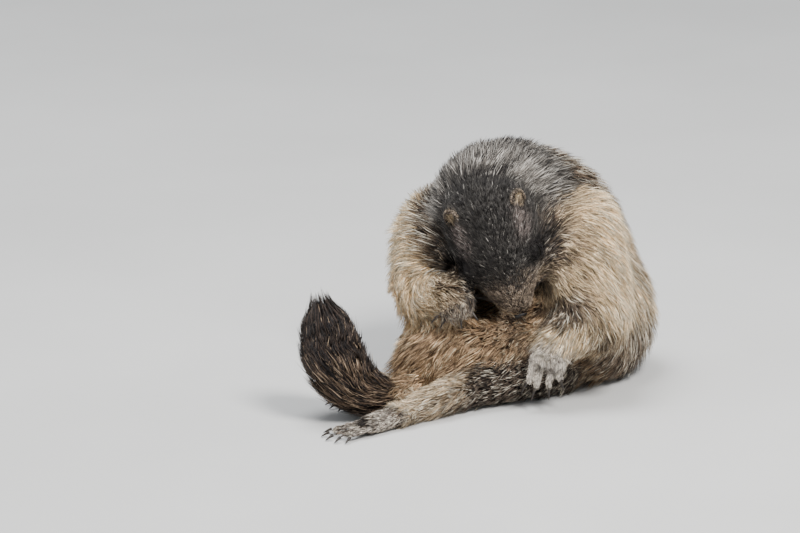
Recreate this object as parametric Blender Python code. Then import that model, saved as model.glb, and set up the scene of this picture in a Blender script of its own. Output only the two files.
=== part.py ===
"""Alpine marmot, life size: it sits back on its haunches with the hind legs forward, bows over and noses its belly.

Lengths are millimetres here and become metres when a mesh is made. +Z is up and the floor is Z = 0. +X runs from the
feet to the rump and -Y is the side that the crown of the bowed head faces. Left and right are the animal's own.
Every solid reaches to the tips of the coat.
"""

import math
import random

import bmesh
import bpy
from mathutils import Matrix, Vector

MM = 0.001
GAP = 0.3
SIDES = (("left", 1), ("right", -1))

# How the body is turned: the heading of the hips and of the chest, in degrees from -X towards -Y.
HIP_HEADING = 28.0
CHEST_HEADING = 64.0

# The ears' line and the tip of the nose set the head's place, and its sizes run along it from the ears' line.
EAR_LINE = Vector((2.8, 22, 162))
NOSE_TIP = Vector((32.5, 15, 66.5))
HEAD_SIDE = Vector((0.955, 0.0, 0.29))
HEAD_WIDEST = 39.0
EYE_ALONG = 47.0
EYE_APART = 52.0
EYE_RADIUS = 5.8
LID = 1.6
EAR_APART = 54.0
EAR_RISE = 10.0
MUZZLE_END = 85.0
NOSTRIL_APART = 8.8

# Joints of the limbs, each a point inside the limb.
SHOULDER = {"left": Vector((74, 58, 128)), "right": Vector((-23, 86, 112))}
ELBOW = {"left": Vector((93, 20, 70)), "right": Vector((-45, 56, 76))}
WRIST = {"left": Vector((57, -3, 54)), "right": Vector((-23, 21, 89))}
KNUCKLES = {"left": Vector((54, -12, 45)), "right": Vector((-17, 9, 83))}
FINGERS = {"left": Vector((-5, -6, -22)), "right": Vector((-4, -6, -8))}
PALM_ACROSS = {"left": Vector((0.97, 0.2, 0.05)), "right": Vector((0.9, -0.3, 0.2))}
HIP = {"left": Vector((54, 42, 25)), "right": Vector((6, 84, 38))}
KNEE = {"left": Vector((-12, -8, 17)), "right": Vector((-46, 48, 26))}
ANKLE = {"left": Vector((-58, -46, 10)), "right": Vector((-62, 26, 12))}
TOES = {"left": Vector((-114, -84, 5)), "right": Vector((-112, -6, 5))}

# Half thickness with the coat, at the start, the middle and the end of each length of limb.
UPPER_ARM = {"left": (41, 38, 31), "right": (49, 40, 27)}
FOREARM = {"left": (29, 24, 16), "right": (26, 22, 18)}
THIGH = {"left": (35, 27, 19), "right": (38, 32, 25)}
SHANK = {"left": (17, 15, 11), "right": (22, 15, 11)}
PALM = (17, 9)
SOLE = (13, 8)
DIGIT = 4.4
FINGER_SPREAD = 16
TOE_SPREAD = 15
CLAW_LENGTH = 12.0
CLAW_RADIUS = 2.4

# The tail runs forward between the feet and curls up.
TAIL_LINE = [
    Vector((-38, 22, 18)),
    Vector((-65, -14, 16)),
    Vector((-88, -27, 20)),
    Vector((-107, -33, 34)),
    Vector((-117, -35, 54)),
    Vector((-121, -35, 72)),
]
TAIL_ROOT = (17, 15)
TAIL_BRUSH = (15, 19, 23, 25, 21)

# The brush is a slim core under flat locks. Their reach is a share of the brush's line, from root to tip.
CORE_SHARE = 0.46
LOCK_ROWS = 6
LOCKS_ROUND = 7
LOCK_REACH = 0.42
LOCK_HALF_WIDTH = 7.2
LOCK_HALF_DEPTH = 1.6
LOCK_SEED = 7

# How far from the brush's line a lock lies, as shares: its root of the core, its middle and tip of the brush.
LOCK_SINK = 0.4
LOCK_MIDDLE = 0.8
LOCK_TIP = (0.9, 1.02)

UP = Vector((0, 0, 1))


def left_of(heading):
    """The left side of a body part that is turned to the heading."""
    turn = math.radians(heading)
    return Vector((math.sin(turn), -math.cos(turn), 0))


HIP_LEFT = left_of(HIP_HEADING)
CHEST_LEFT = left_of(CHEST_HEADING)
HEAD_ALONG = (NOSE_TIP - EAR_LINE).normalized()
HEAD_OUT = HEAD_ALONG.cross(HEAD_SIDE).normalized()
HEAD_LEFT = HEAD_OUT.cross(HEAD_ALONG)


def on_head(along, left, out):
    """A point of the head: along it to the nose, to its left and out through its crown."""
    return EAR_LINE + HEAD_ALONG * along + HEAD_LEFT * left + HEAD_OUT * out


# Making shapes


def clear_scene():
    for obj in list(bpy.data.objects):
        bpy.data.objects.remove(obj)


def new_object(name, shape):
    """An object from a bmesh in millimetres, which is used up."""
    mesh = bpy.data.meshes.new(name)
    bmesh.ops.transform(shape, matrix=Matrix.Scale(MM, 4), verts=shape.verts)
    shape.to_mesh(mesh)
    shape.free()
    obj = bpy.data.objects.new(name, mesh)
    bpy.context.scene.collection.objects.link(obj)
    return obj


def twin(obj):
    """A copy of the object with a mesh of its own."""
    copy = obj.copy()
    copy.data = obj.data.copy()
    bpy.context.scene.collection.objects.link(copy)
    return copy


def discard(obj):
    bpy.data.objects.remove(obj)


def bake(obj):
    """Gives the object its evaluated mesh and drops its modifiers."""
    graph = bpy.context.evaluated_depsgraph_get()
    mesh = bpy.data.meshes.new_from_object(obj.evaluated_get(graph))
    obj.modifiers.clear()
    obj.data = mesh


def triangle_count(obj):
    return sum(len(face.vertices) - 2 for face in obj.data.polygons)


def bead(shape, centre, across, along, radii, detail=3):
    """An ellipsoid with its half lengths across, through and along."""
    along = along.normalized()
    across = (across - along * across.dot(along)).normalized()
    through = along.cross(across)
    frame = Matrix((across * radii[0], through * radii[1], along * radii[2])).transposed().to_4x4()
    frame.translation = centre
    bmesh.ops.create_icosphere(shape, subdivisions=detail, radius=1, matrix=frame)


def eased(values, leg, share):
    """The value on a smooth line through the values, for numbers and vectors."""
    before = values[max(leg - 1, 0)]
    start = values[leg]
    end = values[leg + 1]
    after = values[min(leg + 2, len(values) - 1)]
    square = share * share
    cube = square * share
    return (
        start * (2 - 5 * square + 3 * cube)
        + end * (share + 4 * square - 3 * cube)
        + before * (2 * square - share - cube)
        + after * (cube - square)
    ) * 0.5


def chain(shape, stations, beads=6, detail=3):
    """Beads that overlap along a smooth line. A station is centre, across, half width, half depth."""
    centres, acrosses, widths, depths = (list(column) for column in zip(*stations))
    for leg in range(len(stations) - 1):
        last = leg == len(stations) - 2
        for count in range(beads + last):
            share = count / beads
            centre = eased(centres, leg, share)
            ahead = eased(centres, leg, min(share + 0.02, 1.02))
            width = eased(widths, leg, share)
            depth = eased(depths, leg, share)
            across = eased(acrosses, leg, share)
            bead(shape, centre, across, ahead - centre, (width, depth, min(width, depth)), detail)


def fused(name, shape, voxel, easing, triangles):
    """One closed skin over the overlapping beads, eased, and thinned to about that many triangles."""
    obj = new_object(name, shape)
    remesh = obj.modifiers.new("Fuse", "REMESH")
    remesh.mode = "VOXEL"
    remesh.voxel_size = voxel * MM
    ease = obj.modifiers.new("Ease", "SMOOTH")
    ease.factor = 0.5
    ease.iterations = easing
    bake(obj)
    return thinned(obj, triangles)


def thinned(obj, triangles):
    thin = obj.modifiers.new("Thin", "DECIMATE")
    thin.ratio = min(1.0, triangles / triangle_count(obj))
    thin.use_collapse_triangulate = True
    bake(obj)
    return keep_largest(obj)


def keep_largest(obj):
    """Keeps the largest closed surface of the object."""
    shape = bmesh.new()
    shape.from_mesh(obj.data)
    left = set(shape.verts)
    islands = []
    while left:
        island = {left.pop()}
        front = list(island)
        while front:
            near = {edge.other_vert(vert) for vert in front for edge in vert.link_edges} - island
            island |= near
            front = list(near)
        left -= island
        islands.append(island)
    largest = max(islands, key=len)
    strays = [vert for island in islands if island is not largest for vert in island]
    bmesh.ops.delete(shape, geom=strays, context="VERTS")
    shape.to_mesh(obj.data)
    shape.free()
    return obj


def boolean(obj, other, operation):
    """Adds or cuts one closed mesh. Where the exact solver loses the object, the manifold one does it."""
    whole = obj.data
    for solver in ("EXACT", "MANIFOLD"):
        obj.data = whole
        step = obj.modifiers.new(operation, "BOOLEAN")
        step.operation = operation
        step.object = other
        step.solver = solver
        bake(obj)
        if obj.data.vertices:
            break


def cut(obj, cutter, operation="DIFFERENCE"):
    """Applies the cutter to the object and removes it."""
    boolean(obj, cutter, operation)
    discard(cutter)


def grown(obj, by=GAP):
    """A copy of the object with its skin moved out."""
    copy = twin(obj)
    shape = bmesh.new()
    shape.from_mesh(copy.data)
    shape.normal_update()
    for vert in shape.verts:
        vert.co += vert.normal * by * MM * vert.calc_shell_factor()
    shape.to_mesh(copy.data)
    shape.free()
    return copy


def box(obj):
    """The lowest and highest corner of the object's mesh."""
    corners = [Vector(corner) for corner in obj.bound_box]
    low = Vector([min(corner[axis] for corner in corners) for axis in range(3)])
    high = Vector([max(corner[axis] for corner in corners) for axis in range(3)])
    return low, high


def near(one, other):
    """Whether the boxes of two objects come within the gap of each other."""
    (low_a, high_a), (low_b, high_b) = box(one), box(other)
    room = GAP * MM
    return all(low_a[axis] < high_b[axis] + room and low_b[axis] < high_a[axis] + room for axis in range(3))


placed = []
cutters = []


def stand_flat(obj):
    """Cuts off what would pass the floor, which leaves a flat there."""
    shape = bmesh.new()
    side = 800
    bmesh.ops.create_cube(shape, size=side, matrix=Matrix.Translation((0, 0, -side / 2)))
    cut(obj, new_object("floor_cutter", shape))
    keep_largest(obj)


def claim(form):
    """Keeps the room of a whole form, and the gap round it, clear of the pieces that are still to come."""
    cutters.append(grown(form))


def cut_clear(obj):
    """Cuts the piece back to the floor and to the claimed forms, and puts it in place."""
    if box(obj)[0].z < 0:
        stand_flat(obj)
    for cutter in cutters:
        if near(obj, cutter):
            boolean(obj, cutter, "DIFFERENCE")
            keep_largest(obj)
    placed.append(obj)


def settle(obj, form=None):
    """Puts a piece in place. Its form is the piece before its hollows, where it has any."""
    whole = form or twin(obj)
    cut_clear(obj)
    claim(whole)
    discard(whole)


# Trunk


def make_trunk():
    """Hips, belly, back and neck in one curl."""
    stations = [
        (Vector((-44, 24, 26)), HIP_LEFT, 34, 27),
        (Vector((-10, 42, 39)), HIP_LEFT, 53, 41),
        (Vector((34, 66, 43)), HIP_LEFT, 60, 47),
        (Vector((84, 90, 43)), HIP_LEFT, 61, 60),
        (Vector((74, 96, 86)), HIP_LEFT.lerp(CHEST_LEFT, 0.4), 61, 55),
        (Vector((56, 94, 123)), CHEST_LEFT, 60, 55),
        (Vector((33, 86, 143)), CHEST_LEFT, 57, 53),
        (Vector((12, 64, 155)), CHEST_LEFT.lerp(HEAD_LEFT, 0.5), 51, 46),
        (Vector((2, 40, 160)), HEAD_LEFT, 43, 38),
    ]
    shape = bmesh.new()
    chain(shape, stations)
    return fused("trunk", shape, 3.2, 12, 1900)


def part_neck(trunk):
    """Cuts the neck off the trunk across the shoulders and returns both."""
    middle = Vector((28, 76, 150))
    along = Vector((-0.62, -0.72, 0.32)).normalized()
    turn = along.to_track_quat("Z", "Y").to_matrix().to_4x4()
    reach = 100
    halves = []
    for name, operation, start in (("torso", "DIFFERENCE", 0), ("neck", "INTERSECT", GAP)):
        shape = bmesh.new()
        place = Matrix.Translation(middle + along * (start + reach / 2))
        bmesh.ops.create_cone(
            shape, segments=24, radius1=reach, radius2=reach, depth=reach, cap_ends=True, matrix=place @ turn
        )
        half = twin(trunk)
        half.name = name
        cut(half, new_object("collar", shape), operation)
        halves.append(keep_largest(half))
    return halves


# Head


def make_head():
    """Skull, cheeks, brows and muzzle with its whisker pads."""
    shape = bmesh.new()
    profile = [
        (2, -5, 0.95, 0.75),
        (18, -5, 1.0, 0.79),
        (34, -5, 0.95, 0.77),
        (47, -6, 0.84, 0.69),
        (58, -6, 0.7, 0.6),
        (70, -5.5, 0.56, 0.5),
        (80, -5, 0.47, 0.41),
        (MUZZLE_END, -5, 0.41, 0.345),
    ]
    stations = [
        (on_head(along, 0, out), HEAD_LEFT, width * HEAD_WIDEST, depth * HEAD_WIDEST)
        for along, out, width, depth in profile
    ]
    chain(shape, stations, 3)
    for _, side in SIDES:
        for along, left, out, radii in (
            (38, 22, -12, (18, 20, 30)),
            (40, 20, 8, (12, 9, 17)),
            (76, 9, -7, (12, 12, 13)),
        ):
            bead(shape, on_head(along, left * side, out), HEAD_LEFT, HEAD_ALONG, radii)
    return fused("head", shape, 2.2, 12, 1150)


def eye_place(side):
    centre = on_head(EYE_ALONG, side * EYE_APART / 2, 8)
    look = (HEAD_LEFT * side + HEAD_OUT * 0.55 + HEAD_ALONG * 0.25).normalized()
    return centre, look


def make_eye(name, side):
    shape = bmesh.new()
    centre, look = eye_place(side)
    bead(shape, centre, HEAD_ALONG, look, (EYE_RADIUS,) * 3, detail=2)
    return new_object(name, shape)


def add_lids(head, side):
    """A shell of lid over the eye."""
    centre, look = eye_place(side)
    shell = bmesh.new()
    bead(shell, centre, HEAD_ALONG, look, (EYE_RADIUS + LID,) * 3, detail=2)
    cut(head, new_object("lids", shell), "UNION")


def open_lids(head, side):
    """An almond-shaped slot in the lids."""
    centre, look = eye_place(side)
    slot = bmesh.new()
    bead(slot, centre + look * (EYE_RADIUS + LID), HEAD_ALONG, look, (5.6, 2.3, 4.2), detail=2)
    cut(head, new_object("almond", slot))


def cut_mouth(head):
    """A groove round the lower muzzle, under the lip."""
    level = -10.5
    outer = bmesh.new()
    bead(outer, on_head(74, 0, level), HEAD_LEFT, HEAD_ALONG, (24, 0.7, 26), detail=2)
    inner = bmesh.new()
    bead(inner, on_head(72, 0, level), HEAD_LEFT, HEAD_ALONG, (13.5, 4, 21), detail=2)
    groove = new_object("groove", outer)
    cut(groove, new_object("core", inner))
    cut(head, groove)


def make_nose():
    """The bare pad at the tip, with two nostrils, and its whole form."""
    shape = bmesh.new()
    bead(shape, on_head(94.5, 0, 0), HEAD_LEFT, HEAD_ALONG, (7.5, 5, 4.2))
    bead(shape, on_head(95, 0, -4), HEAD_LEFT, HEAD_ALONG, (3.6, 5, 3.2))
    nose = fused("nose", shape, 0.8, 2, 160)
    whole = twin(nose)
    for _, side in SIDES:
        hole = bmesh.new()
        slant = HEAD_LEFT * side + HEAD_OUT * 0.6
        place = on_head(98, side * NOSTRIL_APART / 2, 0.4)
        bead(hole, place, slant, HEAD_ALONG, (2.2, 1.1, 3.2), detail=1)
        cut(nose, new_object("nostril", hole))
    return nose, whole


def make_ear(name, side):
    """A small rounded cup, laid back, that opens to the side and the front, and its whole form."""
    root = on_head(10, side * EAR_APART / 2, 9)
    rise = (HEAD_ALONG * -0.86 + HEAD_OUT * 0.5 - HEAD_LEFT * side * 0.05).normalized()
    face = (HEAD_LEFT * side * 0.62 + HEAD_OUT * 0.75 + HEAD_ALONG * 0.1).normalized()
    width = rise.cross(face)
    outer = bmesh.new()
    bead(outer, root + rise * EAR_RISE * 0.75, width, rise, (8.4, 5, EAR_RISE))
    ear = new_object(name, outer)
    whole = twin(ear)
    hollow = bmesh.new()
    mouth = root + rise * EAR_RISE * 0.85 + face * 3.1
    bead(hollow, mouth, width, rise, (6.4, 4.8, EAR_RISE * 0.78))
    cut(ear, new_object("cup", hollow))
    return thinned(ear, 200), whole


# Limbs


def make_limb(name, points, radii, triangles, voxel=2.6):
    """A limb of round section through the points."""
    shape = bmesh.new()
    chain(shape, [(point, UP, radius, radius) for point, radius in zip(points, radii)])
    return fused(name, shape, voxel, 5, triangles)


def length_of_limb(name, start, end, radii, triangles):
    return make_limb(name, [start, start.lerp(end, 0.52), end], radii, triangles)


def make_hand(name, wrist, knuckles, tips, across, palm, triangles):
    """A hand or foot: a flat palm from wrist to knuckles, and an arched digit to each tip."""
    shape = bmesh.new()
    width, depth = palm
    chain(
        shape,
        [
            (wrist, across, width * 0.85, depth * 1.25),
            (wrist.lerp(knuckles, 0.5), across, width * 0.92, depth * 1.1),
            (knuckles, across, width, depth),
        ],
    )
    reach = width - DIGIT * 0.8
    for index, tip in enumerate(tips):
        root = knuckles.lerp(wrist, 0.12) + across * reach * (index / (len(tips) - 1) * 2 - 1)
        arch = root.lerp(tip, 0.5) + (root - tip).cross(across).normalized() * DIGIT * 0.35
        stations = [(root, UP, DIGIT, DIGIT), (arch, UP, DIGIT * 0.95, DIGIT * 0.95)]
        stations.append((tip, UP, DIGIT * 0.8, DIGIT * 0.8))
        chain(shape, stations, 5, detail=2)
    return fused(name, shape, 1.4, 2, triangles)


def digit_tips(knuckles, middle_tip, across, reach, count):
    """The tips of the digits: in a fan about the middle one, with the outer ones shorter."""
    tips = []
    for index in range(count):
        share = index / (count - 1) * 2 - 1
        tip = middle_tip + across * reach * share
        tips.append(tip.lerp(knuckles, 0.24 * share * share))
    return tips


def make_claw(name, root, way, down):
    """A curved, tapered claw whose base is sunk into its digit."""
    shape = bmesh.new()
    stand = Matrix.Translation((0, 0, CLAW_LENGTH / 2))
    bmesh.ops.create_cone(
        shape,
        segments=6,
        radius1=CLAW_RADIUS,
        radius2=CLAW_RADIUS * 0.2,
        depth=CLAW_LENGTH,
        cap_ends=True,
        matrix=stand,
    )
    flanks = [edge for edge in shape.edges if abs(edge.verts[0].co.z - edge.verts[1].co.z) > CLAW_LENGTH / 2]
    bmesh.ops.subdivide_edges(shape, edges=flanks, cuts=2)
    turn = way.to_track_quat("Z", "Y").to_matrix()
    for vert in shape.verts:
        share = vert.co.z / CLAW_LENGTH
        vert.co = root + turn @ vert.co + down * CLAW_LENGTH * 0.35 * share**2
    return new_object(name, shape)


def make_claws(name, knuckles, tips, down):
    """One claw to each digit, numbered from the inner side out."""
    claws = []
    for number, tip in enumerate(tips, 1):
        way = (tip - knuckles).normalized()
        claws.append(make_claw(f"{name}_{number}", tip - way * 2, way, down))
    return claws


def make_hind_leg(name):
    hip, knee, ankle, toes = HIP[name], KNEE[name], ANKLE[name], TOES[name]
    settle(length_of_limb(f"thigh_{name}", hip, knee, THIGH[name], 400))
    settle(length_of_limb(f"shank_{name}", knee, ankle, SHANK[name], 260))
    across = UP.cross(toes - ankle).normalized()
    ball = ankle.lerp(toes, 0.55) - UP
    tips = digit_tips(ball, toes, across, TOE_SPREAD, 5)
    settle(make_hand(f"foot_{name}", ankle, ball, tips, across, SOLE, 480))
    for claw in make_claws(f"claw_foot_{name}", ball, tips, -UP * 0.8):
        settle(claw)


def make_arm(name):
    wrist, knuckles = WRIST[name], KNUCKLES[name]
    settle(length_of_limb(f"upper_arm_{name}", SHOULDER[name], ELBOW[name], UPPER_ARM[name], 320))
    settle(length_of_limb(f"forearm_{name}", ELBOW[name], wrist, FOREARM[name], 300))
    across = PALM_ACROSS[name].normalized()
    tips = digit_tips(knuckles, knuckles + FINGERS[name], across, FINGER_SPREAD, 4)
    settle(make_hand(f"hand_{name}", wrist, knuckles, tips, across, PALM, 420))
    for claw in make_claws(f"claw_hand_{name}", knuckles, tips, Vector((0, 0.3, -0.95))):
        settle(claw)


# Tail


def along_brush(share):
    """The point, the heading and the half thickness of the brush at a share of its line, and past its end."""
    points = TAIL_LINE[1:]
    legs = len(points) - 1
    if share > 1:
        point, heading, radius = along_brush(1.0)
        past = (share - 1) * legs
        rounding = max(0.3, 1 - past**2 * 0.7)
        return point + heading * past * (points[-1] - points[-2]).length, heading, radius * rounding
    leg = min(int(share * legs), legs - 1)
    within = share * legs - leg
    step = 0.01
    point = eased(points, leg, within)
    heading = (eased(points, leg, within + step) - eased(points, leg, within - step)).normalized()
    return point, heading, eased(TAIL_BRUSH, leg, within)


def make_lock(start, way_over, tip, out, half_width):
    """A flat lock on a curve from its root over a middle point to its tip, that tapers all the way."""
    shape = bmesh.new()
    stand = Matrix.Translation((0, 0, 0.5))
    bmesh.ops.create_cone(shape, segments=4, radius1=1, radius2=1, depth=1, cap_ends=True, matrix=stand)
    flanks = [edge for edge in shape.edges if abs(edge.verts[0].co.z - edge.verts[1].co.z) > 0.5]
    bmesh.ops.subdivide_edges(shape, edges=flanks, cuts=3)
    for vert in shape.verts:
        share = vert.co.z
        taper = 1 - 0.93 * share**2.2
        heading = (way_over - start).lerp(tip - way_over, share).normalized()
        across = heading.cross(out).normalized()
        middle = start * (1 - share) ** 2 + way_over * 2 * share * (1 - share) + tip * share**2
        flat = across * vert.co.x * half_width + heading.cross(across) * vert.co.y * LOCK_HALF_DEPTH
        vert.co = middle + flat * taper
    return new_object("lock", shape)


def make_locks():
    """Locks in rings down the brush, each ring turned against the last, and a tuft at its end."""
    draw = random.Random(LOCK_SEED)
    locks = []
    for row in range(LOCK_ROWS + 1):
        start_share = row / LOCK_ROWS
        for number in range(LOCKS_ROUND):
            angle = math.tau * (number + row * 0.5 + draw.uniform(-0.2, 0.2)) / LOCKS_ROUND
            reach = LOCK_REACH * draw.uniform(0.85, 1.15)
            sweep = draw.uniform(-0.25, 0.25)
            spots = []
            heights = (CORE_SHARE * LOCK_SINK, LOCK_MIDDLE, draw.uniform(*LOCK_TIP))
            for share, height in zip((0, 0.5, 1), heights):
                point, heading, radius = along_brush(start_share + reach * share)
                side = heading.cross(UP.lerp(HIP_LEFT, 0.5)).normalized()
                turn = angle + sweep * share
                out = side * math.cos(turn) + heading.cross(side) * math.sin(turn)
                spots.append(point + out * radius * height)
            spots[2].z = max(spots[2].z, LOCK_HALF_DEPTH)
            locks.append(make_lock(*spots, out, LOCK_HALF_WIDTH * draw.uniform(0.85, 1.15)))
    return locks


def join_all(obj, others):
    """Joins the closed meshes to the object in one union and removes them."""
    group = bpy.data.collections.new("group")
    for other in others:
        group.objects.link(other)
    whole = obj.data
    for solver in ("EXACT", "MANIFOLD"):
        obj.data = whole
        join = obj.modifiers.new("Join", "BOOLEAN")
        join.operation = "UNION"
        join.operand_type = "COLLECTION"
        join.collection = group
        join.solver = solver
        bake(obj)
        if obj.data.vertices:
            break
    for other in others:
        discard(other)
    bpy.data.collections.remove(group)
    return keep_largest(obj)


def make_tail_brush():
    radii = [radius * CORE_SHARE for radius in TAIL_BRUSH]
    core = make_limb("tail_brush", TAIL_LINE[1:], radii, 300, 2.0)
    return join_all(core, make_locks())


# Colours, from the node's name: red, green, blue, roughness

FINISHES = {
    "head": (0.09, 0.085, 0.08, 0.85),
    "neck": (0.16, 0.145, 0.13, 0.85),
    "torso": (0.24, 0.17, 0.11, 0.85),
    "upper_arm": (0.5, 0.4, 0.27, 0.85),
    "forearm": (0.35, 0.28, 0.2, 0.85),
    "hand": (0.3, 0.27, 0.235, 0.85),
    "thigh": (0.22, 0.18, 0.13, 0.85),
    "shank": (0.27, 0.21, 0.15, 0.85),
    "foot": (0.38, 0.31, 0.24, 0.85),
    "ear": (0.4, 0.31, 0.2, 0.85),
    "tail_root": (0.19, 0.12, 0.07, 0.85),
    "tail_brush": (0.06, 0.045, 0.035, 0.85),
    "eye": (0.012, 0.009, 0.007, 0.08),
    "nose": (0.025, 0.022, 0.022, 0.4),
    "claw": (0.045, 0.038, 0.032, 0.35),
}


def centre_all():
    """Moves the whole animal so that the middle of its box stands on the origin."""
    lows, highs = zip(*(box(obj) for obj in placed))
    low = Vector([min(corner[axis] for corner in lows) for axis in range(3)])
    high = Vector([max(corner[axis] for corner in highs) for axis in range(3)])
    middle = (low + high) / 2
    middle.z = 0
    for obj in placed:
        obj.data.transform(Matrix.Translation(-middle))


def colour_all():
    for part, (red, green, blue, roughness) in FINISHES.items():
        material = bpy.data.materials.new(part)
        material.use_nodes = True
        shader = material.node_tree.nodes["Principled BSDF"]
        shader.inputs["Base Color"].default_value = (red, green, blue, 1)
        shader.inputs["Roughness"].default_value = roughness
        shader.inputs["Metallic"].default_value = 0
        for obj in placed:
            if obj.name.startswith(part):
                obj.data.materials.clear()
                obj.data.materials.append(material)


# Build


def build():
    clear_scene()
    for name, side in SIDES:
        settle(make_eye(f"eye_{name}", side))
    head = make_head()
    for _, side in SIDES:
        add_lids(head, side)
    whole_head = twin(head)
    for _, side in SIDES:
        open_lids(head, side)
    cut_mouth(head)
    settle(head, whole_head)
    settle(*make_nose())
    trunk = make_trunk()
    for half in part_neck(trunk):
        cut_clear(half)
    claim(trunk)
    discard(trunk)
    for name, side in SIDES:
        settle(*make_ear(f"ear_{name}", side))
    for name, _ in SIDES:
        make_hind_leg(name)
    for name, _ in SIDES:
        make_arm(name)
    settle(make_limb("tail_root", TAIL_LINE[:2], TAIL_ROOT, 200))
    settle(make_tail_brush())
    for cutter in cutters:
        discard(cutter)
    centre_all()
    colour_all()


build()
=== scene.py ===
"""Looks of the alpine marmot: skin, coat, eyes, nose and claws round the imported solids.

Millimetres are used in the working, in the pose's own frame, and metres where a mesh is made.
"""

import math

import bmesh
import bpy
import numpy as np
from mathutils import Matrix, Vector
from mathutils.bvhtree import BVHTree
from mathutils.kdtree import KDTree


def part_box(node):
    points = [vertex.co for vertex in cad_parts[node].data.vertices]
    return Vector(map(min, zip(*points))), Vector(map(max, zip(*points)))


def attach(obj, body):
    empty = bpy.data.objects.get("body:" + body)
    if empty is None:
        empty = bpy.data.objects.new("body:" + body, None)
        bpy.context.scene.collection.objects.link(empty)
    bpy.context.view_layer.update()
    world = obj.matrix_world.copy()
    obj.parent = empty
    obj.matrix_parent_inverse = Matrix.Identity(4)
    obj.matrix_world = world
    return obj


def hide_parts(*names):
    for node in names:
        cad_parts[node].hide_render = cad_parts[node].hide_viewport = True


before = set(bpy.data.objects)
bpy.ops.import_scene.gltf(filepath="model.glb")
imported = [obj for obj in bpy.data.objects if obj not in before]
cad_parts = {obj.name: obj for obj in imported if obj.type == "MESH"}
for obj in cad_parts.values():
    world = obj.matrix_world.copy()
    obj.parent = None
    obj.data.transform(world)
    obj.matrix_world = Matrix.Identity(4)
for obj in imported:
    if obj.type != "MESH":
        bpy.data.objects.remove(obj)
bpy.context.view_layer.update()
rng = np.random.default_rng(11)

MM = 0.001
CAMERA_HEIGHT = math.radians(17)
SIDES = (("left", 1), ("right", -1))
UP = np.array((0.0, 0.0, 1.0))

# The head's frame: from between the ears to the tip of the nose, and out to its left.
EAR_LINE = np.array((2.8, 22.0, 162.0))
NOSE_TIP = np.array((32.5, 15.0, 66.5))
HEAD_SIDE = np.array((0.955, 0.0, 0.29))
EYE_ALONG = 47.0
EYE_APART = 52.0
EYE_OUT = 8.0
EYE_RADIUS = 5.8

# The trunk's line from the neck over the back to the rump and on to the root of the tail.
TRUNK_LINE = np.array((
    (2, 40, 160), (12, 64, 155), (33, 86, 143), (56, 94, 123), (74, 96, 86),
    (84, 90, 43), (34, 66, 43), (-10, 42, 39), (-44, 24, 26),
), float)
TAIL_LINE = np.array((
    (-65, -14, 16), (-88, -27, 20), (-107, -33, 34), (-117, -35, 54), (-121, -35, 72),
), float)
TAIL_REACH = np.array((15.0, 19.0, 23.0, 25.0, 21.0))
TAIL_CORE = 0.4
TAIL_ROOT_LINE = np.array(((-38, 22, 18), (-65, -14, 16)), float)


def unit(vectors):
    return vectors / np.maximum(np.linalg.norm(vectors, axis=-1, keepdims=True), 1e-9)


def left_of(heading):
    turn = math.radians(heading)
    return np.array((math.sin(turn), -math.cos(turn), 0.0))


HIP_LEFT = left_of(28)
CHEST_LEFT = left_of(64)
HEAD_ALONG = unit(NOSE_TIP - EAR_LINE)
HEAD_OUT = unit(np.cross(HEAD_ALONG, HEAD_SIDE))
HEAD_LEFT = np.cross(HEAD_OUT, HEAD_ALONG)


def on_head(along, left, out):
    return EAR_LINE + HEAD_ALONG * along + HEAD_LEFT * left + HEAD_OUT * out


def middle_of(node):
    low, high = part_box(node)
    return np.array((low + high) / 2) / MM


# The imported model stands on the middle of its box, so its eye says how far the pose's frame has moved.
SHIFT = middle_of("eye_left") - on_head(EYE_ALONG, EYE_APART / 2, EYE_OUT)


def to_frame(points):
    return (np.asarray(points) + SHIFT) * MM


def from_frame(points):
    return np.asarray(points) / MM - SHIFT


def along_line(line, share):
    """Points on a smooth line through the given ones, for an array of shares from 0 to 1."""
    legs = len(line) - 1
    place = np.clip(share, 0, 1) * legs
    leg = np.minimum(place.astype(int), legs - 1)
    within = place - leg
    if line.ndim > 1:
        within = within[:, None]
    before = line[np.maximum(leg - 1, 0)]
    start = line[leg]
    end = line[leg + 1]
    after = line[np.minimum(leg + 2, legs)]
    square = within * within
    cube = square * within
    return (
        start * (2 - 5 * square + 3 * cube)
        + end * (within + 4 * square - 3 * cube)
        + before * (2 * square - within - cube)
        + after * (cube - square)
    ) * 0.5


def smooth_step(value, start, end):
    """0 before the start, 1 past the end, and smooth between them."""
    share = np.clip((value - start) / (end - start), 0, 1)
    return share * share * (3 - 2 * share)


def fade(value, start, end):
    """1 before the start, 0 past the end, and smooth between them."""
    return 1 - smooth_step(value, start, end)


def hump(value, width):
    """1 at nought, falling off softly by the width."""
    return np.exp(-((value / width) ** 2))


def blob(points, centre, radius):
    """1 at the centre, falling off softly by the radius."""
    return np.exp(-np.sum((points - np.asarray(centre, float)) ** 2, axis=1) / radius**2)


# Objects


def add_object(name, mesh):
    obj = bpy.data.objects.new(name, mesh)
    bpy.context.scene.collection.objects.link(obj)
    return obj


def object_from(name, shape):
    mesh = bpy.data.meshes.new(name)
    shape.to_mesh(mesh)
    shape.free()
    mesh.shade_smooth()
    return add_object(name, mesh)


def modify(obj, kind, **settings):
    modifier = obj.modifiers.new(kind, kind)
    for key, value in settings.items():
        setattr(modifier, key, value)


def bake(obj):
    """Its modifiers applied to its mesh."""
    graph = bpy.context.evaluated_depsgraph_get()
    mesh = bpy.data.meshes.new_from_object(obj.evaluated_get(graph))
    obj.modifiers.clear()
    obj.data = mesh
    mesh.shade_smooth()


def finish_piece(obj, nodes, material):
    obj.data.materials.clear()
    obj.data.materials.append(material)
    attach(obj, "root")
    if nodes:
        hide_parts(*nodes)


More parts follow.
